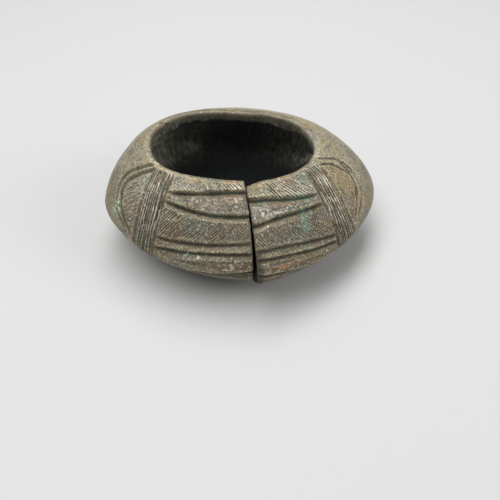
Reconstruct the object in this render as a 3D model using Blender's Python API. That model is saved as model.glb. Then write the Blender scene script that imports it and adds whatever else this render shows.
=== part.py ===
"""A carved manilla: a hollow-cast copper-alloy bracelet, open inside, with one slit at the front.

Units are metres, +Z is up and -Y is the front, where the slit is. The origin is the middle of the
underside. A place on the ring is given by two numbers:

  turn    the angle around the upright axis, in radians: 0 at the slit, growing to the right
  course  the way along the section: from minus BEAD_COURSE to 0 over the inner half of the upper lip,
          0 to 1 down the upper flank from rim to keel, 1 to 2 down the lower flank from keel to rim,
          and on to 2 plus BEAD_COURSE over the inner half of the lower lip
"""
import math

import bmesh
import bpy
import numpy as np
from mathutils import Vector
from mathutils.geometry import delaunay_2d_cdt

# The whole ring
HEIGHT = 0.042
KEEL_HEIGHT = 0.0203
FLANK_FULLNESS = 1.38           # 1 is a straight flank, 2 an elliptical one
FOOT_WEAR = 0.00025             # how much the lower rim is worn flat

# The keel, seen from above, is two half superellipses that meet at its widest points
KEEL_HALF_WIDTH = 0.053
KEEL_FRONT_DEPTH = 0.045
KEEL_BACK_DEPTH = 0.0455
KEEL_FRONT_FULLNESS = 1.72    # under 2 the widest points are corners, over 2 they are flats
KEEL_BACK_FULLNESS = 1.93
KEEL_LEAN = 0.0005
KEEL_CENTRE = (0.0011, -0.0004)

# The wrist opening, seen from above, is drawn the same way
BORE_HALF_WIDTH = 0.0295
BORE_FRONT_DEPTH = 0.0198
BORE_BACK_DEPTH = 0.0204
BORE_FRONT_FULLNESS = 2.22
BORE_BACK_FULLNESS = 2.44
BORE_LEAN = 0.002
BORE_CENTRE = (-0.0022, 0.0014)

# The casting's thickness
LIP_THICKNESS = 0.004
LIP_HEIGHT = 0.004
KEEL_WALL = 0.0045
END_WALL = 0.004

# The slit is a narrow wedge. The ends don't quite meet: the left keel stands further in, and the right
# rim dips towards the slit
SLIT_ANGLE = math.radians(1.5)
LEFT_SETBACK = 0.0023
LEFT_SETBACK_SPREAD = math.radians(25)
RIGHT_DIP = 0.0025
RIGHT_DIP_SPREAD = math.radians(11)

# The carving. Angles are in degrees from the slit, and heights are shares of the flank from rim to keel
GROOVE_WIDTH = 0.0019
GROOVE_DEPTH = 0.0009
ARC_WIDTH = 0.0013
ARC_DEPTH = 0.0006
FINE_LINE_DEPTH = 0.0004
FINE_LINES = 6
FINE_LINE_MARGIN = 0.16         # share of the band's width from an edge groove's middle to the fine lines
BAND_SWEEP = 1.5                # how early the bands turn as they go down
LEFT = {
    "side": -1,
    "band_near": (61.5, 49.2),  # at the rim, at the keel
    "band_far": (74.0, 60.5),
    "arcs": ((16.3, 0.02, 0.99, 1.9), (12.9, 0.06, 0.97, 1.6)),  # reach, top, bottom, fullness
    "lines": ((0.10, 0.17, 0.26), (0.37, 0.39, 0.36), (0.645, 0.70, 0.78), (0.775, 0.82, 0.915),
              (0.97, 1.05, 1.11)),
}
RIGHT = {
    "side": 1,
    "band_near": (52.0, 44.3),
    "band_far": (67.0, 54.8),
    "arcs": ((17.3, 0.01, 0.95, 1.9), (12.0, 0.08, 0.90, 2.2)),
    "lines": ((0.11, 0.22, 0.32), (0.38, 0.425, 0.43), (0.67, 0.75, 0.86), (0.78, 0.855, 0.94),
              (0.97, 1.035, 1.09)),
}
REPEATED_BELOW = 3              # how many of the panel's lines are repeated on the lower flank
CARVING_START = 0.015           # share of the flank between the rim's crest and the start of the bands
CARVING_FADE = 0.05             # share of the flank over which a band's lines reach their depth

# How finely the surfaces are divided
BEAD_COURSE = 0.1
BEAD_STEPS = 3
FLANK_STEPS = 10
CARVED_HALF_ANGLE = math.radians(88)
CARVED_STEP = math.radians(5)
PLAIN_STEP = math.radians(7.5)
LINE_STEP = 0.0028
CLEAR_OF_GROOVE = 0.0011        # how far the mesh's own points stay from a groove's lips
HOLLOW_STEPS = 6
SHARP_EDGE = math.radians(25)

# How finely the curves behind them are worked out
PLAN_SAMPLES = 1441
FLANK_SAMPLES = 801
LINE_SAMPLES = 60
SLOPE_COURSE = 0.004            # course to either side over which the surface's slope is taken
MERGED_WITHIN = 0.00005        # points of the flattened skin this near each other become one
SAME_PLACE = 1e-5


def plan_radius(turn, half_width, front, back, front_fullness, back_fullness, centre, lean):
    """Distance from the axis to a closed plan curve, at the given turns.

    About its own centre the curve has r = (|sin t / a|^n + |cos t / b|^n)^(-1/n) + lean sin 2t.
    """
    t = np.linspace(-math.pi, math.pi, PLAN_SAMPLES)
    depth = np.where(np.cos(t) > 0, front, back)
    power = np.where(np.cos(t) > 0, front_fullness, back_fullness)
    r = (np.abs(np.sin(t) / half_width) ** power + np.abs(np.cos(t) / depth) ** power) ** (-1 / power)
    r = r + lean * np.sin(2 * t)
    x = centre[0] + r * np.sin(t)
    y = centre[1] - r * np.cos(t)
    angle = np.arctan2(x, -y)
    order = np.argsort(angle)
    return np.interp(turn, angle[order], np.hypot(x, y)[order], period=2 * math.pi)


def bore_radius(turn):
    """Distance from the axis to the wall of the wrist opening."""
    return plan_radius(turn, BORE_HALF_WIDTH, BORE_FRONT_DEPTH, BORE_BACK_DEPTH, BORE_FRONT_FULLNESS,
                       BORE_BACK_FULLNESS, BORE_CENTRE, BORE_LEAN)


def from_slit(turn):
    """The turn as a signed angle from the slit: left negative, right positive."""
    return (turn + math.pi) % (2 * math.pi) - math.pi


def end_fade(turn, side, spread):
    """1 at the slit on one side, fading to nothing over a spread of angle, and 0 on the other side."""
    signed = from_slit(turn) * side
    return np.where(signed > 0, np.exp(-(signed / spread) ** 2), 0)


def keel_radius(turn):
    """Distance from the axis to the keel, with the left end set back."""
    r = plan_radius(turn, KEEL_HALF_WIDTH, KEEL_FRONT_DEPTH, KEEL_BACK_DEPTH, KEEL_FRONT_FULLNESS,
                    KEEL_BACK_FULLNESS, KEEL_CENTRE, KEEL_LEAN)
    return r - LEFT_SETBACK * end_fade(turn, -1, LEFT_SETBACK_SPREAD)


def rim_height(turn):
    """Height of the upper rim, with the dip at the right end."""
    return HEIGHT - RIGHT_DIP * end_fade(turn, 1, RIGHT_DIP_SPREAD)


def superellipse(power, count):
    """Points from (0, 1) to (1, 0) on x^p + z^p = 1."""
    t = np.linspace(0, math.pi / 2, count)
    return np.sin(t) ** (2 / power), np.cos(t) ** (2 / power)


def flank_curve():
    """The flank's course from rim to keel: its share of length, how far out it is and how high."""
    out, rise = superellipse(FLANK_FULLNESS, FLANK_SAMPLES)
    reach = KEEL_FRONT_DEPTH - BORE_FRONT_DEPTH - LIP_THICKNESS / 2
    run = np.hypot(np.diff(out) * reach, np.diff(rise) * (HEIGHT - KEEL_HEIGHT))
    share = np.concatenate([[0], np.cumsum(run)]) / run.sum()
    return share, out, rise, run.sum()


FLANK_SHARE, FLANK_OUT, FLANK_RISE, FLANK_LENGTH = flank_curve()


def section(turn, course):
    """Distance from the axis and height of the plain surface, as two arrays."""
    share = 1 - np.abs(1 - np.clip(course, 0, 2))
    out = np.interp(share, FLANK_SHARE, FLANK_OUT)
    rise = np.interp(share, FLANK_SHARE, FLANK_RISE)
    beyond = np.maximum(-course, course - 2)
    swing = np.clip(beyond / BEAD_COURSE, 0, 1) * math.pi / 2
    bead = LIP_THICKNESS / 2
    crest = bore_radius(turn) + bead
    r = crest + (keel_radius(turn) - crest) * out - bead * np.sin(swing)
    drop = bead * (1 - np.cos(swing))
    upper = KEEL_HEIGHT + (rim_height(turn) - KEEL_HEIGHT) * rise - drop
    lower = KEEL_HEIGHT - (KEEL_HEIGHT + FOOT_WEAR) * rise + drop
    return r, np.where(course <= 1, upper, np.maximum(lower, 0))


def upright(turn, r, z):
    """Points at a distance from the axis and a height."""
    return np.stack([r * np.sin(turn), -r * np.cos(turn), np.broadcast_to(z, r.shape)], axis=-1)


def surface(turn, course, depth):
    """Points at a depth under the plain surface, square to it within each upright section."""
    r, z = section(turn, course)
    r_next, z_next = section(turn, course + SLOPE_COURSE)
    r_last, z_last = section(turn, course - SLOPE_COURSE)
    rise, run = z_next - z_last, r_next - r_last
    size = np.hypot(rise, run)
    return upright(turn, r + depth * rise / size, z - depth * run / size)


def scale_at(turn, course):
    """Metres for one radian around and for one flank along, at a place on the ring."""
    return section(turn, course)[0], FLANK_LENGTH


def resample(path):
    """The same path with points about LINE_STEP apart."""
    around, along = scale_at(path[:, 0], path[:, 1])
    run = np.hypot(np.diff(path[:, 0]) * around[1:], np.diff(path[:, 1]) * along)
    at = np.concatenate([[0], np.cumsum(run)])
    stations = np.linspace(0, at[-1], max(2, round(at[-1] / LINE_STEP)) + 1)
    return np.stack([np.interp(stations, at, path[:, k]) for k in (0, 1)], axis=-1)


def shifted(path, distance):
    """The path moved sideways along the surface."""
    around, along = scale_at(path[:, 0], path[:, 1])
    ahead = np.gradient(path, axis=0) * np.stack([around, np.full_like(around, along)], axis=-1)
    ahead /= np.linalg.norm(ahead, axis=1, keepdims=True)
    return path + np.stack([-ahead[:, 1] / around, ahead[:, 0] / along], axis=-1) * distance


class Groove:
    """A V-shaped cut along a path: each point has a half width and a depth."""

    def __init__(self, path, half_width, depth):
        self.path = path
        self.half_width = np.broadcast_to(half_width, len(path))
        self.depth = np.broadcast_to(depth, len(path))

    def nearest(self, turn, course):
        """Distance from the path in half widths, distance in metres, and the depth at the nearest point."""
        around, along = scale_at(turn, course)
        best = np.full(len(turn), np.inf)
        metres = np.full(len(turn), np.inf)
        depth = np.zeros(len(turn))
        for k in range(len(self.path) - 1):
            start, end = self.path[k], self.path[k + 1]
            x, y = (turn - start[0]) * around, (course - start[1]) * along
            dx, dy = (end[0] - start[0]) * around, (end[1] - start[1]) * along
            t = np.clip((x * dx + y * dy) / (dx * dx + dy * dy), 0, 1)
            away = np.hypot(x - t * dx, y - t * dy)
            widths = away / (self.half_width[k] * (1 - t) + self.half_width[k + 1] * t)
            closer = widths < best
            best = np.where(closer, widths, best)
            metres = np.where(closer, away, metres)
            depth = np.where(closer, self.depth[k] * (1 - t) + self.depth[k + 1] * t, depth)
        return best, metres, depth


def band_turn(side, edge, course):
    """Where a band's edge runs at each course. It sweeps toward the slit and eases into the keel."""
    share = 1 - np.abs(1 - course)
    at_rim, at_keel = side[edge]
    turned = at_rim + (at_keel - at_rim) * (1 - (1 - share) ** BAND_SWEEP)
    return np.radians(turned) * side["side"]


def on_ring(turn):
    """Turns from the slit, left ones negative, as turns that run once around the ring."""
    return turn % (2 * math.pi)


def band_line(side, across):
    """A line down the band, at a share of its width, over the keel and up to the lower rim."""
    course = np.linspace(CARVING_START, 2 - CARVING_START - CARVING_FADE, LINE_SAMPLES)
    near, far = band_turn(side, "band_near", course), band_turn(side, "band_far", course)
    return resample(np.stack([on_ring(near + (far - near) * across), course], axis=-1))


def fade_in(path):
    """0 at the ends of a band's line and 1 along the rest."""
    from_end = np.minimum(path[:, 1] - path[0, 1], path[-1, 1] - path[:, 1])
    return np.clip(from_end / CARVING_FADE, 0, 1)


def band_width(side, course):
    """Metres between a band's two edges."""
    near, far = band_turn(side, "band_near", course), band_turn(side, "band_far", course)
    return np.abs(far - near) * scale_at(on_ring(near), course)[0]


def panel_line(side, heights, mirrored):
    """A line from the slit to the band, through its heights at the slit, halfway and at the band."""
    k = np.linspace(0, 1, LINE_SAMPLES)
    at_slit, halfway, at_band = heights
    share = at_slit * (1 - k) * (1 - 2 * k) + 4 * halfway * k * (1 - k) + at_band * k * (2 * k - 1)
    start = SLIT_ANGLE / 2 * side["side"]
    turn = start + (band_turn(side, "band_near", share) - start) * k
    path = resample(np.stack([on_ring(turn), 2 - share if mirrored else share], axis=-1))
    path[0, 0] = on_ring(start)
    return path


def arc_line(side, arc):
    """A D-shaped arc outside the band: a half superellipse that stands on the band's far edge."""
    reach, top, bottom, fullness = arc
    t = np.linspace(0, math.pi, LINE_SAMPLES)
    down = -np.sign(np.cos(t)) * np.abs(np.cos(t)) ** (2 / fullness)
    course = (top + bottom) / 2 + (bottom - top) / 2 * down
    bulge = math.radians(reach) * np.sin(t) ** (2 / fullness) * side["side"]
    return resample(np.stack([on_ring(band_turn(side, "band_far", course) + bulge), course], axis=-1))


def carving():
    """All the grooves, and the lines that the mesh follows: each groove's bottom and its two lips."""
    grooves, lines = [], []

    def cut(path, width, depth, open_start=False):
        grooves.append(Groove(path, width / 2, depth))
        for sideways in (-width / 2, 0, width / 2):
            line = shifted(path, sideways)
            if open_start:
                line[0, 0] = path[0, 0]
            lines.append(line)

    for side in (LEFT, RIGHT):
        for across in (0, 1):
            edge = band_line(side, across)
            cut(edge, GROOVE_WIDTH, GROOVE_DEPTH * fade_in(edge))
        for heights in side["lines"]:
            cut(panel_line(side, heights, mirrored=False), GROOVE_WIDTH, GROOVE_DEPTH, open_start=True)
        for heights in side["lines"][:REPEATED_BELOW]:
            cut(panel_line(side, heights, mirrored=True), GROOVE_WIDTH, GROOVE_DEPTH, open_start=True)
        for arc in side["arcs"]:
            cut(arc_line(side, arc), ARC_WIDTH, ARC_DEPTH)
        pitch = (1 - 2 * FINE_LINE_MARGIN) / FINE_LINES
        for k in range(2 * FINE_LINES + 1):
            line = band_line(side, FINE_LINE_MARGIN + pitch * k / 2)
            lines.append(line)
            if k % 2:
                half = band_width(side, line[:, 1]) * pitch / 2
                grooves.append(Groove(line, half, FINE_LINE_DEPTH * fade_in(line)))
    return grooves, lines


def depth_at(grooves, turn, course):
    """The depth of the deepest groove at each place, and the distance to the nearest groove."""
    depth = np.zeros(len(turn))
    away = np.full(len(turn), np.inf)
    for groove in grooves:
        widths, metres, bottom = groove.nearest(turn, course)
        depth = np.maximum(depth, bottom * np.clip(1 - widths, 0, 1))
        away = np.minimum(away, metres - groove.half_width.max())
    return depth, away


def ring_turns():
    """The turns of the mesh's columns: close together where the ring is carved, wider at the back.

    The second column and the last but one are the inner faces of the end walls.
    """
    slit = SLIT_ANGLE / 2
    wall = slit + 2 * END_WALL / (BORE_FRONT_DEPTH + KEEL_FRONT_DEPTH)
    around = 2 * math.pi
    ends = wall, CARVED_HALF_ANGLE, around - CARVED_HALF_ANGLE, around - wall
    columns = [[slit, wall]]
    for start, end, step in zip(ends, ends[1:], (CARVED_STEP, PLAIN_STEP, CARVED_STEP)):
        columns.append(np.linspace(start, end, round((end - start) / step) + 1)[1:])
    return np.concatenate([*columns, [around - slit]])


def ring_courses():
    """The courses of the mesh's rows, with a row at each edge of the worn foot and none within it."""
    bead = np.linspace(0, BEAD_COURSE, BEAD_STEPS + 1)[1:]
    flank = np.linspace(0, 2, 2 * FLANK_STEPS + 1)
    outer_edge = 2 - np.interp(KEEL_HEIGHT / (KEEL_HEIGHT + FOOT_WEAR), FLANK_RISE[::-1], FLANK_SHARE[::-1])
    inner_edge = 2 + BEAD_COURSE * math.acos(1 - FOOT_WEAR / (LIP_THICKNESS / 2)) / (math.pi / 2)
    rows = np.concatenate([-bead, flank, 2 + bead])
    margin = BEAD_COURSE / BEAD_STEPS / 2
    rows = rows[(rows < outer_edge - margin) | (rows > inner_edge + margin)]
    return np.sort(np.concatenate([rows, [outer_edge, inner_edge]]))


def triangulate(turns, courses, lines, grooves):
    """Places on the ring and the triangles between them, with edges along the keel and the carved lines."""
    lines = [*lines, np.stack([turns, np.ones_like(turns)], axis=-1)]
    turn, course = (a.ravel() for a in np.meshgrid(turns, courses, indexing="ij"))
    _, away = depth_at(grooves, turn, course)
    on_border = (course <= courses[0]) | (course >= courses[-1])
    keep = on_border | (away > CLEAR_OF_GROOVE)
    grid = np.stack([turn[keep], course[keep]], axis=-1)
    unit = np.array([KEEL_HALF_WIDTH, FLANK_LENGTH])
    points = np.concatenate([grid, *lines]) * unit
    edges, first = [], len(grid)
    for line in lines:
        edges += [(first + k, first + k + 1) for k in range(len(line) - 1)]
        first += len(line)
    corners = [Vector(p) for p in points]
    result = delaunay_2d_cdt(corners, edges, [], 0, MERGED_WITHIN)
    return np.array([tuple(p) for p in result[0]]) / unit, result[2]


def bronze():
    """Old copper alloy: grey-brown and dull."""
    material = bpy.data.materials.new("patinated bronze")
    material.use_nodes = True
    shader = material.node_tree.nodes["Principled BSDF"]
    shader.inputs["Base Color"].default_value = (0.115, 0.095, 0.072, 1)
    shader.inputs["Metallic"].default_value = 0.5
    shader.inputs["Roughness"].default_value = 0.55
    return material


def mesh_object(name, points, faces):
    """An object from points and faces, with every face turned outwards."""
    shape = bmesh.new()
    vertices = [shape.verts.new(p) for p in points]
    for face in faces:
        shape.faces.new([vertices[k] for k in face])
    bmesh.ops.recalc_face_normals(shape, faces=shape.faces)
    many_sided = [face for face in shape.faces if len(face.verts) > 4]
    bmesh.ops.triangulate(shape, faces=many_sided, ngon_method="BEAUTY")
    mesh = bpy.data.meshes.new(name)
    shape.to_mesh(mesh)
    shape.free()
    thing = bpy.data.objects.new(name, mesh)
    bpy.context.collection.objects.link(thing)
    return thing


def hollow(turns):
    """The inner surface, in rows from under the upper lip, round the keel, to the top of the lower lip."""
    out, rise = superellipse(FLANK_FULLNESS, HOLLOW_STEPS + 1)
    out = np.concatenate([out, out[-2::-1]])[:, None]
    rise = np.concatenate([rise, -rise[-2::-1]])[:, None]
    bore = bore_radius(turns)
    r = bore + (keel_radius(turns) - KEEL_WALL - bore) * out
    half_height = np.where(rise > 0, rim_height(turns) - KEEL_HEIGHT, KEEL_HEIGHT) - LIP_HEIGHT
    return upright(turns, r, KEEL_HEIGHT + half_height * rise)


def border(places, axis, value):
    """Indices of the places on one border of the carved skin, in order along it."""
    found = np.flatnonzero(np.abs(places[:, axis] - value) < SAME_PLACE)
    return found[np.argsort(places[found, 1 - axis])]


def quads(rows):
    """Faces between neighbouring rows of vertex indices."""
    low, high = rows[:-1], rows[1:]
    corners = np.stack([low[:, :-1], low[:, 1:], high[:, 1:], high[:, :-1]], axis=-1)
    return corners.reshape(-1, 4).tolist()


def ring():
    """Points and faces of the whole casting, a closed skin."""
    grooves, lines = carving()
    turns, courses = ring_turns(), ring_courses()
    places, triangles = triangulate(turns, courses, lines, grooves)
    depth, _ = depth_at(grooves, places[:, 0], places[:, 1])
    skin = surface(places[:, 0], places[:, 1], depth)
    top, bottom = border(places, 1, courses[0]), border(places, 1, courses[-1])
    inside = hollow(turns)
    rows = len(skin) + np.arange(inside.shape[0] * len(turns)).reshape(inside.shape[:2])
    points = np.concatenate([skin, inside.reshape(-1, 3)])
    under_lips = quads(np.stack([top, rows[0]])) + quads(np.stack([rows[-1], bottom]))
    hollow_faces = quads(rows[:, 1:-1])
    walls = rows[:, [1, -2]].T.tolist()
    wall_edges = [quads(rows[[0, -1]][:, pair])[0] for pair in ([0, 1], [-2, -1])]
    ends = []
    for turn, column in ((turns[0], 0), (turns[-1], -1)):
        ends.append([*border(places, 0, turn), rows[-1, column], rows[0, column]])
    faces = [*triangles, *under_lips, *hollow_faces, *walls, *wall_edges, *ends]
    used = np.unique([corner for face in faces for corner in face])
    renumbered = np.full(len(points), -1)
    renumbered[used] = np.arange(len(used))
    return points[used], [renumbered[list(face)] for face in faces]


def build():
    for thing in list(bpy.data.objects):
        bpy.data.objects.remove(thing)
    points, faces = ring()
    middle = (points.max(0) + points.min(0)) / 2
    middle[2] = 0
    body = mesh_object("manilla", points - middle, faces)
    body.data.materials.append(bronze())
    body.data.shade_smooth()
    body.data.set_sharp_from_angle(angle=SHARP_EDGE)


build()
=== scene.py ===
# %% [markdown]
# # A carved manilla
#
# A manilla is a heavy bracelet, cast in copper alloy, that passed from hand to hand as money in West Africa. This one
# is an oval ring with a sharp keel, hollow and open towards the arm, with a narrow slit at the front. On both sides
# of the slit the wax model was carved with deep curved grooves, fine hatching, a band of upright lines and a pair of
# arcs.
#
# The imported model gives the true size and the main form. This lesson makes the finished surface over it.

import math

import bpy
import numpy as np
from mathutils import Matrix, Vector


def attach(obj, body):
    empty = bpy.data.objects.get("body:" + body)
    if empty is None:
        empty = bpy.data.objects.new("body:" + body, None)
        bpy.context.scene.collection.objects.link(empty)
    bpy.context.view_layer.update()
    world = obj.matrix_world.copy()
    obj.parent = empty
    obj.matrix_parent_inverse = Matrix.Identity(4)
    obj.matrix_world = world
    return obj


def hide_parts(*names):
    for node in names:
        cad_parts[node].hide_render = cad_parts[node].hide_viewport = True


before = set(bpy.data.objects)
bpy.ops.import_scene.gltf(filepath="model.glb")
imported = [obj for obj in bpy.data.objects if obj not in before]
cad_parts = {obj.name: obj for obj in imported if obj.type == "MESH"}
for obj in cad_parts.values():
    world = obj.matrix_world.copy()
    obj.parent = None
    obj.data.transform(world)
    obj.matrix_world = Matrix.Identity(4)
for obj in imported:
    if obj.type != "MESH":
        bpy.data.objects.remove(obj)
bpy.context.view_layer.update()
MM = 0.001

# %% [markdown]
# ## The camera
#
# The photo was taken from in front and above, about 41 degrees up and 6 to the left, and from so near that the
# perspective is strong. The place and the lens were worked out from the bracelet's outline in it.

# %% Place the camera
EYE = Vector((-0.01947, -0.16576, 0.16777))
LOOKS_AT = Vector((0.00147, -0.01697, 0.00394))
ROLL = math.radians(0.99)
SENSOR_MM = 36.0
FOCAL_IN_FRAMES = 560 / 500     # the focal length as a share of the frame's width
NEAREST_SHOWN = 0.01


def put(name, data, place=None, aim=None, roll=0.0):
    """Puts an object into the scene. With a place, it stands there and looks at an aim."""
    thing = bpy.data.objects.new(name, data)
    bpy.context.scene.collection.objects.link(thing)
    if place is not None:
        turned = (aim - place).to_track_quat("-Z", "Y").to_matrix().to_4x4() @ Matrix.Rotation(roll, 4, "Z")
        thing.matrix_world = Matrix.Translation(place) @ turned
    return thing


camera_data = bpy.data.cameras.new("photo_camera")
camera_data.sensor_width = SENSOR_MM
camera_data.lens = SENSOR_MM * FOCAL_IN_FRAMES
camera_data.clip_start = NEAREST_SHOWN
camera = put("photo_camera", camera_data, EYE, LOOKS_AT, ROLL)
bpy.context.scene.camera = camera
print("The camera is", round((EYE - LOOKS_AT).length / MM), "mm from what it looks at")

# %% [markdown]
# ## Colours
#
# Colours are picked as hex codes. Blender mixes light in linear values, so one function turns each code into those.


# %% A function for colours
def colour(code):
    """Linear RGBA from an sRGB hex code: c / 12.92 below 0.04045, else ((c + 0.055) / 1.055) to the power 2.4."""
    parts = [int(code[k:k + 2], 16) / 255 for k in (1, 3, 5)]
    return [c / 12.92 if c <= 0.04045 else ((c + 0.055) / 1.055) ** 2.4 for c in parts] + [1.0]


print("Mid grey", [round(c, 3) for c in colour("#808080")])


# %% A function for materials
def new_material(name):
    """An empty material with its Principled shader already joined to the output."""
    material = bpy.data.materials.new(name)
    material.use_nodes = True
    return material, material.node_tree, material.node_tree.nodes["Principled BSDF"]


# %% [markdown]
# ## The stage
#
# The bracelet lies on a plain pale floor. A large lamp above and a little behind it rakes across the carving, so each
# groove has a dark upper wall and a lit lower one. A weaker one far to the right, like a window, lights the right
# side, and the world gives a low even light.

# %% Make the floor and the lights
FLOOR_RADIUS = 2.0
FLOOR_CORNERS = 64
LAMPS_AIM_AT = Vector((0, 0, 0.02))
ROOM_LIGHT = 0.35

corner = np.linspace(0, 2 * math.pi, FLOOR_CORNERS, endpoint=False)
floor_points = np.stack([np.cos(corner), np.sin(corner), 0 * corner], axis=-1) * FLOOR_RADIUS
floor_mesh = bpy.data.meshes.new("floor")
floor_mesh.from_pydata(floor_points, [], [range(FLOOR_CORNERS)])
floor = put("floor", floor_mesh)
floor_material, tree, shader = new_material("pale paper, matt")
shader.inputs["Base Color"].default_value = colour("#c2c2c1")
shader.inputs["Roughness"].default_value = 0.9
floor_mesh.materials.append(floor_material)


def add_lamp(name, place, width, depth, watts):
    """A soft white rectangular lamp at a place, turned towards the bracelet."""
    data = bpy.data.lights.new(name, "AREA")
    data.shape = "RECTANGLE"
    data.size = width
    data.size_y = depth
    data.energy = watts
    put(name, data, Vector(place), LAMPS_AIM_AT)


add_lamp("top_lamp", (-0.12, 0.08, 0.80), width=1.2, depth=0.4, watts=9.2)
add_lamp("window", (0.75, -0.30, 0.50), width=0.5, depth=0.5, watts=3.0)
world = bpy.data.worlds.new("soft_room")
world.use_nodes = True
world.node_tree.nodes["Background"].inputs["Color"].default_value = colour("#e8ebef")
world.node_tree.nodes["Background"].inputs["Strength"].default_value = ROOM_LIGHT
bpy.context.scene.world = world
bpy.context.scene.view_settings.view_transform = "Standard"

# %% [markdown]
# ## The form of the ring
#
# Seen from above, the keel and the wrist opening are ovals. Their front and back halves are superellipses, which are
# ellipses whose exponent need not be 2, and meet at the widest points. The flank between rim and keel is one too,
# with a low exponent, so it is nearly straight near the rim and rounder towards the keel. All the numbers are in
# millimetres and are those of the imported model.

# %% Measures of the ring
HEIGHT = 42.0
KEEL_HEIGHT = 20.3
FLANK_FULLNESS = 1.38
FOOT_WEAR = 0.25                # how much the lower rim is worn flat
KEEL = {"half_width": 53.0, "depths": (45.0, 45.5), "fullness": (1.72, 1.93), "centre": (1.1, -0.4), "lean": 0.5}
BORE = {"half_width": 29.5, "depths": (19.8, 20.4), "fullness": (2.22, 2.44), "centre": (-2.2, 1.4), "lean": 2.0}
LIP_THICKNESS = 4.0
LIP_HEIGHT = 4.0
KEEL_WALL = 4.5
END_WALL = 4.0
SLIT_ANGLE = math.radians(1.5)
LEFT_SETBACK = (2.3, math.radians(25))      # how far in the left keel stands, and over what angle
RIGHT_DIP = (2.5, math.radians(11))         # how far down the right rim dips
RIGHT_PROUD = (1.0, math.radians(12))       # how far out the right keel stands
BEAD_COURSE = 0.1
EDGE_FULLNESS = 3.0


def from_slit(turn):
    """An angle as a signed one from the slit: left negative, right positive."""
    return (turn + math.pi) % (2 * math.pi) - math.pi


def near_slit(turn, side, spread):
    """1 at the slit on one side of it, fading as exp(-(angle / spread)^2), and 0 on the other side."""
    signed = from_slit(turn) * side
    return np.where(signed > 0, np.exp(-(signed / spread) ** 2), 0)


def plan_radius(turn, half_width, depths, fullness, centre, lean):
    """Distance from the upright axis to a plan curve, at angles turned from the slit.

    About its own centre the curve has r = (|sin t / a|^n + |cos t / b|^n)^(-1/n) + lean sin 2t, with b and n of the
    front or the back half. The centre is then added.
    """
    t = np.linspace(-math.pi, math.pi, 1441)
    depth, power = (np.where(np.cos(t) > 0, *pair) for pair in (depths, fullness))
    r = (np.abs(np.sin(t) / half_width) ** power + np.abs(np.cos(t) / depth) ** power) ** (-1 / power)
    r = r + lean * np.sin(2 * t)
    x, y = centre[0] + r * np.sin(t), centre[1] - r * np.cos(t)
    angle = np.arctan2(x, -y)
    order = np.argsort(angle)
    return np.interp(turn, angle[order], np.hypot(x, y)[order], period=2 * math.pi)


def keel_radius(turn):
    """Distance from the axis to the keel, with the right end proud and the left one set back."""
    ends = RIGHT_PROUD[0] * near_slit(turn, 1, RIGHT_PROUD[1]) - LEFT_SETBACK[0] * near_slit(turn, -1, LEFT_SETBACK[1])
    return plan_radius(turn, **KEEL) + ends


def rim_height(turn):
    """Height of the upper rim, with the dip at the right end."""
    return HEIGHT - RIGHT_DIP[0] * near_slit(turn, 1, RIGHT_DIP[1])


for name, r in (("keel", keel_radius), ("opening", lambda t: plan_radius(t, **BORE))):
    print("The", name, "at front, right, back and left, in mm:", np.round(r(np.radians([0, 90, 180, 270])), 1))

# %% [markdown]
# Two numbers name a place on the skin. The **turn** is the angle round the upright axis, 0 at the slit. The
# **course** runs down the section: 0 on the crest of the upper rim, 1 on the keel, 2 on the lower rim, and a little
# beyond each end over the rounded inner half of the rim.


# %% The section of the plain skin
def superellipse(power, count):
    """Points from (0, 1) to (1, 0) on x^p + z^p = 1: x = sin(t)^(2/p), z = cos(t)^(2/p)."""
    t = np.linspace(0, math.pi / 2, count)
    return np.sin(t) ** (2 / power), np.cos(t) ** (2 / power)


FLANK_OUT, FLANK_RISE = superellipse(FLANK_FULLNESS, 801)
reach = KEEL["depths"][0] - BORE["depths"][0] - LIP_THICKNESS / 2
run = np.hypot(np.diff(FLANK_OUT) * reach, np.diff(FLANK_RISE) * (HEIGHT - KEEL_HEIGHT))
FLANK_LENGTH = run.sum()
FLANK_SHARE = np.concatenate([[0], np.cumsum(run)]) / FLANK_LENGTH
print("The flank is", round(FLANK_LENGTH, 1), "mm from rim to keel at the front")


def section(turn, course):
    """Distance from the axis and height of the plain skin, in mm.

    The flank is read from its superellipse by the share of length. Beyond each crest a quarter of a superellipse,
    half the lip's thickness wide, turns inwards. The lower rim is worn flat.
    """
    share = 1 - np.abs(1 - np.clip(course, 0, 2))
    out, rise = np.interp(share, FLANK_SHARE, FLANK_OUT), np.interp(share, FLANK_SHARE, FLANK_RISE)
    swing = np.clip(np.maximum(-course, course - 2) / BEAD_COURSE, 0, 1) * math.pi / 2
    bead = LIP_THICKNESS / 2
    crest = plan_radius(turn, **BORE) + bead
    r = crest + (keel_radius(turn) - crest) * out - bead * np.sin(swing) ** (2 / EDGE_FULLNESS)
    drop = bead * (1 - np.maximum(np.cos(swing), 0) ** (2 / EDGE_FULLNESS))
    upper = KEEL_HEIGHT + (rim_height(turn) - KEEL_HEIGHT) * rise - drop
    lower = KEEL_HEIGHT - (KEEL_HEIGHT + FOOT_WEAR) * rise + drop
    return r, np.where(course <= 1, upper, np.maximum(lower, 0))


def upright(turn, r, z):
    """Points at a distance from the axis and a height."""
    return np.stack([r * np.sin(turn), -r * np.cos(turn), z], axis=-1)


# %% [markdown]
# ## The grid of places
#
# The skin is one grid. Its columns lie close together where the ring is carved and wide apart at the back. Its rows
# go once round the section: over the rim, down the outside, round the lower rim, and back up the hollow inside.

# %% Choose the columns and the rows
def stepped(*stops):
    """Numbers from stop to stop, given as start, step, stop, step, stop and so on. The last stop is included."""
    spans = zip(stops[:-2:2], stops[1::2], stops[2::2])
    parts = [np.linspace(a, b, round((b - a) / step) + 1)[:-1] for a, step, b in spans]
    return np.concatenate([*parts, [stops[-1]]])


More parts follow.
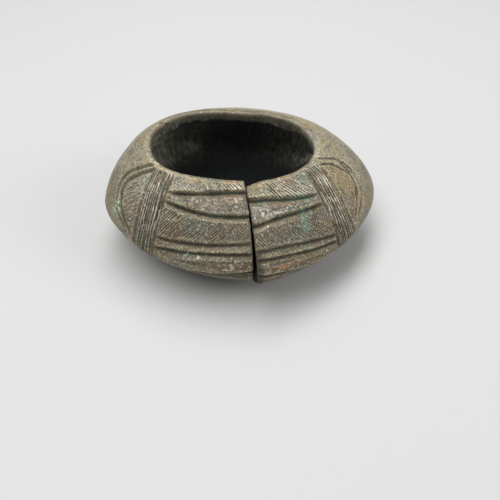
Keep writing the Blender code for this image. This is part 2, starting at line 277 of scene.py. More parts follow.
right = stepped(math.degrees(SLIT_ANGLE / 2), 0.3, 62, 0.42, 92, 1.5, 180)
turns = np.radians(np.concatenate([right, 360 - right[-2::-1]]))
courses = stepped(-BEAD_COURSE, 0.012, 0, 0.0062, 1.02, 0.022, 2, 0.016, 2 + BEAD_COURSE)
TURN, COURSE = np.meshgrid(turns, courses)
SIGNED = from_slit(TURN)
R, Z = section(TURN, COURSE)
PLACE = upright(TURN, R, Z)
print(len(turns), "columns and", len(courses), "rows on the outside")

# %% [markdown]
# ## Smooth random heights
#
# Nothing on a hand-cut and cast object is quite even. The unevenness comes from lattice noise: random numbers on the
# corners of small cubes, blended smoothly in between. They are seeded, so every run gives the same bracelet.

# %% Functions for noise and soft limits
LATTICE = np.random.default_rng(11).uniform(-1, 1, 8192)
SCATTER = (73856093, 19349663, 83492791)    # primes that spread the cubes' corners over the numbers
SEED_SHIFT = 31.7


def noise(points, size, seed=0):
    """Smooth heights from -1 to 1 at points in mm: lattice values a given size apart, blended by 3t^2 - 2t^3."""
    at = points / size + SEED_SHIFT * (seed + 1)
    cell = np.floor(at).astype(np.int64)
    t = at - cell
    t = t * t * (3 - 2 * t)
    total = np.zeros(at.shape[:-1])
    for corner in np.ndindex(2, 2, 2):
        x, y, z = ((cell[..., k] + corner[k]) * SCATTER[k] for k in range(3))
        total += LATTICE[(x ^ y ^ z) % len(LATTICE)] * np.prod(np.where(corner, t, 1 - t), axis=-1)
    return total


def smooth(low, high, value):
    """0 below one limit and 1 above the other, along 3t^2 - 2t^3 between them."""
    t = np.clip((value - low) / (high - low), 0, 1)
    return t * t * (3 - 2 * t)


print("Noise over the skin runs from", *np.round([noise(PLACE, 5).min(), noise(PLACE, 5).max()], 2))

# %% [markdown]
# ## The lines of the carving
#
# Each side of the slit has the same parts. Five long grooves cross the panel beside the slit, then comes a band of
# upright lines between two deeper ones, and beyond it two arcs shaped like a letter D. The two sides differ a little,
# because both were cut by hand. Angles are in degrees from the slit, and heights are courses.
#
# A band's edge is given at the rim, at the keel, and by how early it turns. A groove is given at the slit, halfway
# and at the band. An arc is a smooth path through a few places.

# %% Where the lines run
LEFT = {
    "side": -1, "smooth_above": 0.34,
    "fine_lines": 7, "fine_wall": 0.42, "far_walls": (1.1, 0.85),
    "band_near": (61.5, 49.2, 1.5), "band_far": (74, 60.5, 1.5),
    "lines": ((0.12, 0.168, 0.275), (0.389, 0.401, 0.368), (0.683, 0.728, 0.8), (0.8, 0.83, 0.92),
              (1, 1.075, 1.09)),
    "outer_arc": ((77, 0), (79, 0.08), (81.7, 0.2), (84, 0.32), (84.9, 0.42), (84.6, 0.52), (83, 0.6),
                  (80.3, 0.68), (76.8, 0.76), (72.2, 0.85), (66, 0.93)),
    "inner_arc": ((73.3, 0.03), (74.9, 0.12), (77, 0.2), (79, 0.3), (80.3, 0.4), (80.6, 0.48), (79.9, 0.57),
                  (77.5, 0.65), (74.2, 0.73), (70.8, 0.81), (66.8, 0.88), (62, 0.94)),
}
RIGHT = {
    "side": 1, "smooth_above": 0.1,
    "fine_lines": 6, "fine_wall": 0.38, "far_walls": (0.5, 0.8),
    "band_near": (52, 44.3, 1.5), "band_far": (66, 54.8, 2.1),
    "lines": ((0.14, 0.24, 0.34), (0.425, 0.418, 0.455), (0.69, 0.745, 0.855), (0.785, 0.845, 0.935),
              (0.965, 1.04, 1.12)),
    "outer_arc": ((69.3, 0), (71.5, 0.07), (74.3, 0.13), (76.5, 0.19), (78, 0.25), (79, 0.33), (78.8, 0.4),
                  (77.8, 0.47), (76.3, 0.54), (74, 0.61), (71, 0.69), (67.5, 0.77), (63.5, 0.84), (59.5, 0.9)),
    "inner_arc": ((65, 0.09), (68, 0.125), (70, 0.165), (71.6, 0.22), (72.6, 0.3), (73.6, 0.38), (74, 0.45),
                  (73.2, 0.52), (71.5, 0.58), (69, 0.63), (66.5, 0.69), (64, 0.74), (61, 0.8), (58, 0.86)),
}
REPEATED_BELOW = 3              # how many of the five grooves are repeated under the keel
BAND_START = 0.015
BAND_END = 1.935


def band_turn(side, edge, course):
    """Signed angle of a band's edge at a course: it goes from rim to keel as 1 - (1 - share)^sweep."""
    share = 1 - np.abs(1 - course)
    at_rim, at_keel, sweep = side[edge]
    return np.radians(at_rim + (at_keel - at_rim) * (1 - (1 - share) ** sweep)) * side["side"]


def band_line(side, across):
    """A line down the band at a share of its width, over the keel and up to the lower rim."""
    course = np.linspace(BAND_START, BAND_END, 70)
    near, far = band_turn(side, "band_near", course), band_turn(side, "band_far", course)
    return np.stack([near + (far - near) * across, course], axis=-1)


def panel_line(side, heights, mirrored=False):
    """A line from the slit to the band: the parabola through its courses at the slit, halfway and at the band."""
    k = np.linspace(0, 1, 40)
    at_slit, halfway, at_band = heights
    course = at_slit * (1 - k) * (1 - 2 * k) + 4 * halfway * k * (1 - k) + at_band * k * (2 * k - 1)
    start = SLIT_ANGLE / 2 * side["side"]
    turn = start + (band_turn(side, "band_near", course) - start) * k
    return np.stack([turn, 2 - course if mirrored else course], axis=-1)


def drawn(points):
    """A smooth path through points given as degrees from the slit and course.

    Between two points P1 and P2, with their neighbours P0 and P3, it is the Catmull-Rom curve
    (2 P1 + (P2 - P0) t + (2 P0 - 5 P1 + 4 P2 - P3) t^2 + (3 P1 - P0 - 3 P2 + P3) t^3) / 2.
    """
    p = np.array(points, float)
    p = np.concatenate([[2 * p[0] - p[1]], p, [2 * p[-1] - p[-2]]])
    t = np.linspace(0, 1, 6, endpoint=False)[None, :, None]
    a, b, c, d = (p[k:len(p) - 3 + k, None] for k in range(4))
    curve = (2 * b + (c - a) * t + (2 * a - 5 * b + 4 * c - d) * t ** 2 + (3 * b - a - 3 * c + d) * t ** 3) / 2
    curve = np.concatenate([curve.reshape(-1, 2), p[-2:-1]])
    return curve * (math.pi / 180, 1)


def arc_line(side, name):
    """One of a side's two arcs."""
    return drawn(side[name]) * (side["side"], 1)


print("The left outer arc is drawn with", len(arc_line(LEFT, "outer_arc")), "points")

# %% [markdown]
# ## Cutting the grooves
#
# A groove was gouged with a blade held aslant, so its upper wall is steep and its lower wall slopes gently back up.
# The deep grooves and the fine lines go into two arrays, because the patina treats them differently.


# %% Distance to a line, and the depth of a groove
def nearest(path, turn, course):
    """Distance in mm from places to a path, the share along the path, and the side: 1 on the right hand, else -1.

    For each straight piece from A to B the nearest point is A + t(B - A), with t = (P - A).(B - A) / |B - A|^2 kept
    from 0 to 1. The smallest distance of all the pieces counts.
    """
    around = section(turn, course)[0][:, None]
    a, b = path[:-1], path[1:]
    x, y = (turn[:, None] - a[:, 0]) * around, (course[:, None] - a[:, 1]) * FLANK_LENGTH
    dx, dy = (b[:, 0] - a[:, 0]) * around, (b[:, 1] - a[:, 1]) * FLANK_LENGTH
    t = np.clip((x * dx + y * dy) / (dx * dx + dy * dy), 0, 1)
    away = np.hypot(x - t * dx, y - t * dy)
    k = away.argmin(axis=1)
    pick = np.arange(len(k)), k
    return away[pick], (k + t[pick]) / len(a), np.sign((y * dx - x * dy)[pick])


cut, fine, dirt = (np.zeros(TURN.shape) for _ in range(3))
SMALLEST_RADIUS = 28            # mm, turns a margin on the skin into an angle
STRAY = 0.18                    # mm, how far the hand strayed from the line
UNEVEN = 0.35                   # how much a groove swells and thins on its way


def carve(path, depth, right, left, into, dark=0.9, bottom=1.0, taper=(0.0, 0.0), worn=None, seed=0):
    """Cuts a groove along a path into an array of depths, and marks its bottom dark, for earth and painted shade.

    The depth is d(1 - t^b), where t runs from 0 on the path to 1 at the lip: b is 1 for a sharp V and more for a
    round bottom. Right and left are the widths of the walls in mm, for someone who walks along the path. Taper
    narrows the groove over a share of its length at each end, and worn makes it shallower round a course.
    """
    low, high = path.min(axis=0), path.max(axis=0)
    margin = max(left, right) * 1.3
    over, down = margin / SMALLEST_RADIUS, margin / FLANK_LENGTH
    near = (SIGNED > low[0] - over) & (SIGNED < high[0] + over)
    near &= (COURSE > low[1] - down) & (COURSE < high[1] + down)
    away, along, side = nearest(path, SIGNED[near], COURSE[near])
    away = np.maximum(away + STRAY * noise(PLACE[near], 1.0, seed + 7), 0)
    size = 1 + UNEVEN * noise(PLACE[near], 5.0, seed)
    for end, share in ((along, taper[0]), (1 - along, taper[1])):
        if share:
            size = size * smooth(-0.3 * share, share, end)
    if worn:
        at, spread, loss = worn
        size = size * (1 - loss * np.exp(-((COURSE[near] - at) / spread) ** 2))
    wall = np.where(side > 0, right, left) * (0.45 + 0.55 * size)
    f = 1 - np.clip(away / wall, 0, 1) ** bottom
    into[near] = np.maximum(into[near], depth * size * f)
    soil_and_painted_shade = np.clip(1.25 - away / (0.5 * min(right, left) + 0.2), 0, 1)
    dirt[near] = np.maximum(dirt[near], dark * np.clip(size, 0, 1) * soil_and_painted_shade)


# %% Cut the grooves of the panels and the bands
UPPER_WALL = 1.2
PANEL_CUTS = (                  # depth, lower wall, dark of the bottom (dirt and painted shade), share that tapers at the slit and at the band
    (1.2, 2.2, 1, (0, 0.16)), (1.05, 2.2, 0.95, (0, 0.16)), (0.9, 2.4, 0.85, (0.04, 0.06)),
    (0.95, 2.4, 0.85, (0.04, 0.06)), (0.65, 2.4, 1, (0, 0.16)),
)
LINE_UNDER_KEEL = (1.06, 1.12, 1.14)
SWAY = math.radians(0.4)        # how far a fine line of a band sways

for side in (LEFT, RIGHT):
    swapped = slice(None, None, side["side"])       # on the left side of the slit, a line's two walls change places
    for number, (heights, (depth, lower, dark, ends)) in enumerate(zip(side["lines"], PANEL_CUTS)):
        walls = (lower, UPPER_WALL)[swapped]
        seed = number + 10 + 5 * side["side"]
        carve(panel_line(side, heights), depth, *walls, cut, dark, bottom=1.25, taper=ends, seed=seed)
    for number, heights in enumerate(side["lines"][:REPEATED_BELOW]):
        carve(panel_line(side, heights, mirrored=True), 0.85, 1.1, 1.1, cut, taper=(0, 0.16), seed=number + 30)
    carve(panel_line(side, LINE_UNDER_KEEL), 0.45, 0.45, 0.45, fine, dark=0.85, taper=(0.02, 0.2), seed=36)
    carve(band_line(side, 0), 0.85, *(0.9, 0.75)[swapped], cut, dark=0.62, bottom=2.2, taper=(0.08, 0.02), seed=50)
    carve(band_line(side, 1), 0.7, *side["far_walls"], cut, dark=0.6, bottom=1.8, taper=(0.1, 0.02), seed=51)
    wall = side["fine_wall"]
    for number in range(side["fine_lines"]):
        line = band_line(side, 0.13 + 0.72 * number / (side["fine_lines"] - 1))
        flat = np.stack([line[:, 1] * 34, 0 * line[:, 1] + number * 7, 0 * line[:, 1]], axis=-1)
        line[:, 0] += SWAY * noise(flat, 6.0, 3)
        carve(line, 0.42, wall, wall, fine, dark=0.85, taper=(0.02, 0.02), seed=number + 60)
print("The deepest groove of the panels is", round(cut.max(), 2), "mm")

# %% [markdown]
# The arcs are worn faint in places. Two shallow dents lie by the right ones, a slip of the blade runs under the fourth
# groove on each side, and the rim has one small notch at the back left.

# %% Cut the arcs and the smaller marks
SLIPS = (((-1, 0.872), (-8, 0.885), (-16, 0.89), (-26, 0.9)), ((5, 0.865), (11, 0.872), (17, 0.885), (24, 0.9)))
ARC_ENDS = (0.05, 0.1)
LONG_DENT = ((76.3, 0.27), (76.9, 0.35), (76.6, 0.42), (75.6, 0.49))
SHORT_DENT = ((71.8, 0.59), (69.6, 0.65), (67.4, 0.71))
for slip in SLIPS:
    carve(drawn(slip), 0.28, 0.5, 0.7, fine, dark=0.5, taper=(0.2, 0.4), seed=70)
carve(arc_line(LEFT, "outer_arc"), 0.85, 1, 1.5, cut, 0.75, 1.8, ARC_ENDS, worn=(0.75, 0.12, 0.6), seed=40)
carve(arc_line(LEFT, "inner_arc"), 0.9, 1, 1.7, cut, 0.8, 1.8, ARC_ENDS, seed=41)
carve(arc_line(RIGHT, "outer_arc"), 0.95, 0.9, 1.3, cut, 0.95, 1, ARC_ENDS, worn=(0.68, 0.1, 0.7), seed=42)
carve(arc_line(RIGHT, "inner_arc"), 0.95, 0.9, 1.2, cut, 1, 1, ARC_ENDS, worn=(0.74, 0.06, 0.6), seed=43)
carve(drawn(LONG_DENT), 0.9, 1.3, 1.3, cut, dark=0.7, bottom=2.0, taper=(0.3, 0.3), seed=45)
carve(drawn(SHORT_DENT), 0.75, 0.9, 0.9, cut, dark=0.75, bottom=1.6, taper=(0.3, 0.3), seed=46)
notch = np.stack([np.radians([-125.5, -124, -123, -122]), [-0.1, -0.05, 0, 0.06]], axis=-1)
carve(notch, 0.8, 0.8, 0.5, cut, dark=0.9, seed=44)
print("The fine lines are up to", round(fine.max(), 2), "mm deep")

# %% [markdown]
# ## Swelling between the grooves
#
# Wear has rounded the strips between the grooves into low cushions, most of all the crescent under the first groove.
# The same step finds the room that each strip has for hatching, which is the distance to its border.


# %% Raise the strips of each panel
def panel_courses(side, heights):
    """The course of a panel line at every column of the grid."""
    path = panel_line(side, heights)
    order = np.argsort(path[:, 0])
    return np.interp(SIGNED, path[order, 0], path[order, 1])


STRIP_HEIGHTS = (0.15, 0.45, 0.15, 0.12, 0.12)
UNHATCHED = (0, 1.0, 1.5, 1.2, 1.2)     # mm under the groove above
FIRST_SLOPE = 2                         # from this strip on, the lower wall of the groove above is a dull slope
swell, slope = np.zeros(TURN.shape), np.zeros(TURN.shape)
strip = {}
for side in (LEFT, RIGHT):
    to_band = (band_turn(side, "band_near", np.clip(COURSE, 0, 2)) - SIGNED) * side["side"] * R
    inside = (SIGNED * side["side"] > 0) & (to_band > 0)
    borders = [0 * COURSE] + [panel_courses(side, h) for h in side["lines"]]
    for number, (height, plain) in enumerate(zip(STRIP_HEIGHTS, UNHATCHED)):
        top, bottom = borders[number], borders[number + 1]
        f = (COURSE - top) / (bottom - top)
        under, above = (COURSE - top) * FLANK_LENGTH, (bottom - COURSE) * FLANK_LENGTH
        here = inside & (f > 0) & (f < 1)
        rounded = height * (1 - np.abs(2 * f - 1) ** 3) * smooth(0, 3.5, to_band)
        if number >= FIRST_SLOPE:
            slope = np.where(here, smooth(2.6, 1.0, under), slope)
        if number == 4:
            rounded = rounded + 0.22 * np.exp(-((above - 1.5) / 0.7) ** 2)
        swell = np.where(here, np.maximum(swell, rounded), swell)
        room = np.minimum(np.minimum(under - plain, above - 0.3), to_band - 0.6)
        strip[side["side"], number] = np.where(here, room, -1)
    arc = arc_line(side, "inner_arc")
    bulge = (arc[:, 0] - band_turn(side, "band_far", arc[:, 1])) * side["side"]
    arc_turn = np.interp(COURSE, arc[:, 1], bulge, left=0, right=0)
    past_far = (SIGNED - band_turn(side, "band_far", np.clip(COURSE, 0, 2))) * side["side"]
    in_arc = (COURSE < 1) & (past_far > 0) & (past_far < arc_turn)
    room = np.minimum(past_far * R - 0.7, (arc_turn - past_far) * R - 1.2)
    below_smooth = (COURSE - side["smooth_above"]) * FLANK_LENGTH
    strip[side["side"], "arc"] = np.where(in_arc, np.minimum(room, below_smooth), -1)
    swell = np.where(in_arc, 0.25 * smooth(0, 3, room), swell)
print("The crescents stand", round(swell.max(), 2), "mm proud")

# %% [markdown]
# ## Hatching
#
# Fine strokes fill the fields between the grooves. They were cut in groups, each with its own slant. In a group they
# are nearly parallel and evenly spaced, but no two are quite alike. The real ones are about 0.7 mm apart. That is too
# fine to show in the render, so they are drawn 0.75 to 0.95 mm apart.


# %% Cut the hatching
def chance(count, seed):
    """A number from 0 to 1 for each whole number: the fraction of 43758.5453 |sin(12.9898 n + 78.233 seed)|."""
    return np.modf(np.abs(np.sin(count * 12.9898 + seed * 78.233)) * 43758.5453)[0]


def strokes(turn, course, radius, slant, spacing, depth, room, seed):
    """Depth of a group of strokes, in mm.

    Across the strokes, v = x sin(slant) + y cos(slant) in units of the spacing, with x round the ring and y down the
    flank. The nearest whole number names the stroke, and picks its shift, depth and length. Each stroke ends a
    little short of the field's border, which is as far away as room says.
    """
    x, y = turn * radius, course * FLANK_LENGTH
    a = math.radians(slant)
    flat = np.stack([x, y, 0 * x], axis=-1)
    v = (x * math.sin(a) + y * math.cos(a)) / spacing + 0.3 * noise(flat, 5.0, seed)
    number = np.round(v)
    off = np.abs(v - number + 0.3 * (chance(number, seed) - 0.5))
    along = x * math.cos(a) - y * math.sin(a)
    lengthwise = np.stack([along, number * 9.0, 0 * x], axis=-1)
    weight = (0.6 + 0.5 * chance(number, seed + 1)) * (0.8 + 0.4 * noise(lengthwise, 2.5, seed))
    weight = weight * smooth(-0.5, -0.15, noise(lengthwise, 1.5, seed + 3))
    ends = np.clip((room - 0.1 - 0.6 * chance(number, seed + 2)) / 0.35, 0, 1)
    return depth * weight * ends * np.clip(1 - off / 0.36, 0, 1)


GROUPS = [  # side, field, slant in degrees ("/" positive), spacing, depth, from and to in degrees from the slit
    (-1, 0, -38, 0.75, 0.1, -62, -40), (-1, 0, -44, 0.8, 0.16, -42, -22), (-1, 0, -46, 0.85, 0.3, -24, -1),
    (1, 0, -55, 0.8, 0.26, 1, 20), (1, 0, -66, 0.95, 0.46, 18, 35), (1, 0, -64, 0.85, 0.34, 33, 52),
    (-1, 2, 68, 0.88, 0.42, -56, -40), (-1, 2, 54, 0.8, 0.28, -41, -14),
    (-1, 2, -49, 0.8, 0.2, -24, -1), (-1, 2, 38, 0.78, 0.22, -18, -1),
    (1, 2, -54, 0.82, 0.28, 1, 44), (1, 2, 50, 0.82, 0.22, 4, 47),
    (-1, "arc", 63, 0.85, 0.48, -90, -58), (1, "arc", -62, 0.8, 0.34, 50, 90), (1, "arc", 28, 0.8, 0.26, 50, 90),
]
for number, (side, field, slant, spacing, depth, start, end) in enumerate(GROUPS):
    room = strip[side, field]
    angle = np.degrees(SIGNED)
    radius = R[room > 0].mean()
    edge = np.minimum(angle - start, end - angle) * math.pi / 180 * radius
    here = (room > 0) & (edge > 0)
    room = np.minimum(room, edge + 0.6)[here]
    group = strokes(SIGNED[here], COURSE[here], radius, slant, spacing, depth, room, number * 5)
    fine[here] = np.maximum(fine[here], group)
    # Dirt in the strokes, made stronger as painted shade because the lamp runs along them.
    dirt[here] = np.maximum(dirt[here], 0.85 * np.clip(group / 0.24, 0, 1))
print("The hatching covers", int((fine > 0.02).sum()), "points of", cut.size)

# %% [markdown]
# ## The skin of the casting
#
# Slow waves stand for the hand-shaped wax, shorter ones for knocks and wear, and small pits for gas bubbles. The ends
# beside the slit are worn round, the keel sags a little under them, and a crust of green corrosion stands on the left
# keel.


# %% Soft windows on the skin
def past(start, end, angle=SIGNED):
    """0 at one angle from the slit and 1 at another, on both sides alike, in degrees."""
    return smooth(math.radians(start), math.radians(end), np.abs(angle))


def in_courses(start, full, full_to, end):
    """1 between two courses, fading to 0 at a start before them and an end after them."""
    return smooth(start, full, COURSE) * smooth(end, full_to, COURSE)


def spot(angle, course, wide, high):
    """A soft spot: exp(-(x / half width)^2 - (y / half height)^2), with x and y in mm from a place on the skin."""
    x, y = (SIGNED - math.radians(angle)) * R / wide, (COURSE - course) * FLANK_LENGTH / high
    return np.exp(-x ** 2 - y ** 2)


print("The window past 95 degrees holds", round(float(past(95, 125).mean()), 2), "of the grid")

# %% Add unevenness, pits, worn ends and the crust
waves = 0.18 * noise(PLACE, 11.0, 1) + 0.10 * noise(PLACE, 4.5, 2) + 0.06 * noise(PLACE, 1.7, 3)
back = past(95, 125)
waves += 0.35 * back * smooth(0.05, 0.0, COURSE) * noise(PLACE, 3.0, 8)
pits = 0.25 * smooth(0.55, 0.95, noise(PLACE, 1.2, 4)) * smooth(-0.3, 0.4, noise(PLACE, 9.0, 5))
from_end = (np.abs(SIGNED) - SLIT_ANGLE / 2) * R
end_round = np.where(SIGNED < 0, 0.7, 0.8 + 1.4 * smooth(0.62, 0.85, COURSE) * smooth(1.12, 1.0, COURSE))
short_of_round = np.clip(end_round - from_end, 0, None)
worn_end = end_round - np.sqrt(np.clip(end_round ** 2 - short_of_round ** 2, 0, None))
crust = spot(-76, 0.76, 2.6, 4.2)
lumps = crust * (0.22 + 0.22 * noise(PLACE, 0.9, 6))
low_bulge = in_courses(0.98, 1.12, 1.3, 1.7) * (0.9 * near_slit(TURN, -1, 0.32) + 0.3 * near_slit(TURN, 1, 0.4))
depth = cut + fine - swell + pits + waves + 0.8 * worn_end - lumps - low_bulge
foot = smooth(1.93, 1.99, COURSE)
depth = depth * (1 - foot)
print("Depths under the plain form, in mm:", round(depth.min(), 2), "to", round(depth.max(), 2))


# %% Move the skin
def sunk(turn, course, depth):
    """Points at a depth under the plain skin, square to it within each upright section, in mm."""
    r, z = section(turn, course)
    step = 0.004
    r_next, z_next = section(turn, course + step)
    r_last, z_last = section(turn, course - step)
    rise, run = z_next - z_last, r_next - r_last
    size = np.hypot(rise, run)
    return r + depth * rise / size, z - depth * run / size


skin_r, skin_z = sunk(TURN, COURSE, depth)
skin_z = np.maximum(skin_z, 0)
print("The skin reaches from", round(skin_z.min(), 2), "to", round(skin_z.max(), 2), "mm high")

# %% [markdown]
# ## The hollow inside
#
# The ring is a channel with a wall of about four millimetres, open towards the arm and closed by walls beside the
# slit. Its edge under the upper rim is ragged, because nobody dressed it. Its floor has the rough skin that the clay
# core left, with faint upright streaks.

# %% Make the rows of the hollow
HOLLOW_ROWS = 40
END_RADIUS = 32                 # mm, turns the angle from the slit into a length
CORNER_ROUND = 3.5              # mm over which the end walls round into the channel
signed = from_slit(turns)
bore = plan_radius(turns, **BORE)
lip_points = upright(turns, bore, 0 * turns)
ragged = 0.7 * noise(lip_points, 7.0, 21) + 0.6 * noise(lip_points, 2.4, 22)
out, rise = superellipse(FLANK_FULLNESS, HOLLOW_ROWS // 2 + 1)
out = np.concatenate([out, out[-2::-1]])[:, None]
rise = np.concatenate([rise, -rise[-2::-1]])[:, None]
from_wall = (np.abs(signed) - SLIT_ANGLE / 2) * END_RADIUS - END_WALL
opened = np.sqrt(1 - (1 - np.clip(from_wall / CORNER_ROUND, 0, 1)) ** 2)
hollow_r = bore + (keel_radius(turns) - KEEL_WALL - bore) * out * opened
top_lip = LIP_HEIGHT + ragged * opened
half_height = np.where(rise > 0, rim_height(turns) - KEEL_HEIGHT - top_lip, KEEL_HEIGHT - LIP_HEIGHT)
hollow_z = KEEL_HEIGHT + half_height * rise
hollow_points = upright(turns, hollow_r, hollow_z)
rough = 0.35 * noise(hollow_points, 5.0, 23) + 0.15 * noise(hollow_points, 1.6, 24)
folds = 0.5 * noise(hollow_points * np.array([1, 1, 2.6]), 8.0, 26)
STREAK_DEPTH = 0.12
streaks = STREAK_DEPTH * noise(hollow_points * np.array([1, 1, 0.08]), 1.1, 25)
hollow_r = hollow_r + (rough + streaks + folds) * smooth(0, 0.25, out) * opened
print("The hollow is", round(float((hollow_r - bore).max()), 1), "mm deep where it is deepest")

# %% [markdown]
# The slit isn't quite upright: its upper end leans to the right and is a little narrower, and its edges waver. The
# columns near it are turned by small angles for that.

# %% Join the rows into one closed skin
UNDER_ROWS = 2                  # rows between the foot and the hollow
LIP_ROWS = 6                    # rows over the face of the upper lip
SLIT_LEAN, LEAN_SPREAD, LEAN_FROM = math.radians(1.15), math.radians(16), 34.0
PINCH = 0.2                     # how much narrower the slit is at its top, as a share
WAVER = math.radians(0.25)


def between(first, last, count):
    """Rows evenly spaced between two rows, without the two themselves."""
    k = (np.arange(count) + 1)[:, None] / (count + 1)
    return first + (last - first) * k


def all_rows(skin, hollow):
    """The rows once round the section: skin, foot, hollow from the bottom up, and face of the upper lip."""
    return np.concatenate([skin, between(skin[-1], hollow[-1], UNDER_ROWS), hollow[::-1],
                           between(hollow[0], skin[0], LIP_ROWS)])


ring_r, ring_z = all_rows(skin_r, hollow_r), all_rows(skin_z, hollow_z)
ring_turn = turns + SLIT_LEAN * smooth(HEIGHT, LEAN_FROM, ring_z) * np.exp(-(signed / LEAN_SPREAD) ** 2)
ring_turn -= np.sign(signed) * PINCH * SLIT_ANGLE * smooth(30, 38, ring_z) * np.exp(-(signed / 0.05) ** 2)
edge_wave = np.stack([0 * ring_z, np.sign(signed) * 9 + 0 * ring_z, ring_z], axis=-1)
ring_turn += WAVER * noise(edge_wave, 3.0, 31) * np.exp(-(signed / 0.03) ** 2)
flat_points = upright(ring_turn, ring_r, ring_z).reshape(-1, 3)
middle = (flat_points.max(axis=0) + flat_points.min(axis=0)) / 2 * (1, 1, 0)
rows, columns = ring_r.shape
index = np.arange(rows * columns).reshape(rows, columns)
wrapped = np.concatenate([index, index[:1]])
quads = np.stack([wrapped[:-1, :-1], wrapped[1:, :-1], wrapped[1:, 1:], wrapped[:-1, 1:]], axis=-1).reshape(-1, 4)
end_faces = [index[:, 0].tolist(), index[::-1, -1].tolist()]
print(rows, "rows,", columns, "columns; middle of the box, in mm:", np.round(middle, 2))

# %% [markdown]
# ## Marks for the patina
#
# The patina follows the form: dirt stays in the cuts with painted shade over it, and handling brightens the edges,
# which carry painted highlights too.
# So each point of the mesh carries a few numbers from 0 to 1 that the material reads. The first ones come from the
# carving.

# %% Mark the cuts, ridges, worn edges with painted highlights, and dirt with painted shade
outside_rows = skin_r.shape[0]


def over_ring(values, elsewhere=0.0):
    """Values of the outer skin, filled up with one value for the rows inside."""
    full = np.full((rows, columns), elsewhere)
    full[:outside_rows] = values
    return full


recess = np.clip(cut / 0.6, 0, 1)
blurred = sum(np.roll(fine, k, axis=axis) for k in (-3, -2, -1, 1, 2, 3) for axis in (0, 1)) / 12
rubbed = np.clip((blurred - fine) * 9, 0, 1)
below = sum(np.roll(cut, -k, axis=0) for k in range(1, 7)) / 6
beside = sum(np.roll(cut, k, axis=1) for k in (-4, -3, -2, -1, 1, 2, 3, 4)) / 8
# Edges above and beside the cuts are pale, partly from wear and partly as a painted highlight.
edges = np.clip((np.maximum(below, beside) - cut) * 2.6, 0, 1) * (COURSE < 1.3)
# A painted highlight along the back of the rim, just below its crest.
edges = np.maximum(edges, 0.55 * back * in_courses(0.02, 0.05, 0.1, 0.2))
# A painted highlight along the left keel edge.
painted_keel_highlight = in_courses(0.945, 0.965, 0.98, 1.0) * past(12, 20) * past(58, 48) * (SIGNED < 0)
edges = np.maximum(edges, 0.75 * painted_keel_highlight)
# Painted shade on the right end beside the slit, where it rounds away. It is laid in with the dirt.
end_shade = in_courses(0.6, 0.7, 1.15, 1.3) * smooth(3.6, 1.0, from_end) * (SIGNED > 0)
dirt = np.maximum(dirt, 0.7 * end_shade)
print("Dirt lies on", int((dirt > 0.5).sum()), "points")

# %% [markdown]
# The lower flank and the back are calm, with little pattern. The lower panels, the tops of the rim fields and the back
# of the rim are darkened as painted shade, the shoulders beyond the bands are dusty, and the raised crescents are
# polished dark. The ridges of the bands and of the hatching at the rim get a painted highlight.

# %% Mark the calm, dusty and polished parts, the painted shade and the painted highlights
calm = np.maximum(smooth(1.1, 1.35, COURSE), past(92, 115))
calm = np.maximum(calm, 0.8 * smooth(0.6, 0.9, COURSE) * past(60, 75))
# Painted shade: darker lower panels, tops of the rim fields and back crest.
sooty = smooth(0.33, 0.40, COURSE) * past(64, 48)
sooty = np.maximum(sooty, np.where(SIGNED < 0, 0.9, 0.15) * in_courses(0.0, 0.04, 0.13, 0.17) * past(60, 55))
sooty = np.maximum(sooty, 0.85 * back * smooth(0.05, -0.03, COURSE))
dusty = past(60, 76) * smooth(0.75, 0.35, np.abs(COURSE))
# Less dust on the back crest, as painted shade.
dusty = dusty * (1 - 0.8 * back * smooth(0.05, -0.01, COURSE))
polished = sum(smooth(0.2, 1.6, strip[s, 1]) for s in (-1, 1))


def in_band(side):
    """True between the two edges of a band."""
    near, far = (band_turn(side, edge, np.clip(COURSE, 0, 2)) * side["side"] for edge in ("band_near", "band_far"))
    return (SIGNED * side["side"] > near) & (SIGNED * side["side"] < far)


# Painted highlight on the ridges of the bands and of the rim hatching.
beyond_left = (SIGNED < math.radians(-44)) & ~in_band(LEFT)
band_light = (1.35 * in_band(LEFT) + 0.45 * beyond_left) * smooth(0.85, 0.45, COURSE)
band_light = band_light + in_band(RIGHT) * smooth(0.85, 0.4, COURSE)
band_light = band_light + 0.6 * (strip[1, 0] > 0) + 0.5 * (strip[-1, 0] > 0) * past(28, 20)
band_light = band_light * smooth(-0.4, 0.5, noise(PLACE, 3.0, 28))
print("The bands cover", int((in_band(LEFT) | in_band(RIGHT)).sum()), "points")

# %% [markdown]
# The hollow is painted dark, as shade, and so is the rim where it turns in. Where a wall faces the lamps it is painted
# lighter, and its back shows two faint painted patches of light and a small pale mark shaped like an almond. The face
# of the upper lip is painted lit at the back and shaded towards the slit.

# %% Mark the painted shade and light of the hollow
LENS = (-154, 7, 16.5, 1.8)     # the almond: middle and half width in degrees, middle and half height in mm
inner = slice(outside_rows + UNDER_ROWS, rows - LIP_ROWS)
inner_turn, inner_height = np.degrees(signed), ring_z[inner]


def hump(angle, spread):
    """exp(-((turn - angle) / spread)^2), in degrees."""
    return np.exp(-((inner_turn - angle) / spread) ** 2)


lip_face = past(78, 108, signed)
# Painted shade over the whole inside, thinned where light would reach.
hidden = np.full((rows, columns), 1.0)
into_edge = np.maximum(-COURSE, COURSE - 2) / BEAD_COURSE
# Painted shade on the rim where it turns inwards, lighter at the back.
hidden[:outside_rows] = smooth(0.35, 0.8, into_edge) * (1 - 0.8 * lip_face)
up_the_lip = (np.arange(LIP_ROWS)[:, None] + 1) / (LIP_ROWS + 1)
lip_light = 0.6 + 0.4 * past(165, 140, signed)
lit_higher_up = smooth(0.15, 0.85, up_the_lip + 0.3 * noise(lip_points, 3.0, 27))
# Painted light and shade on the face of the upper lip.
hidden[-LIP_ROWS:] = 1 - lip_face * lip_light * lit_higher_up
faint = hump(148, 12) + hump(-155, 14)
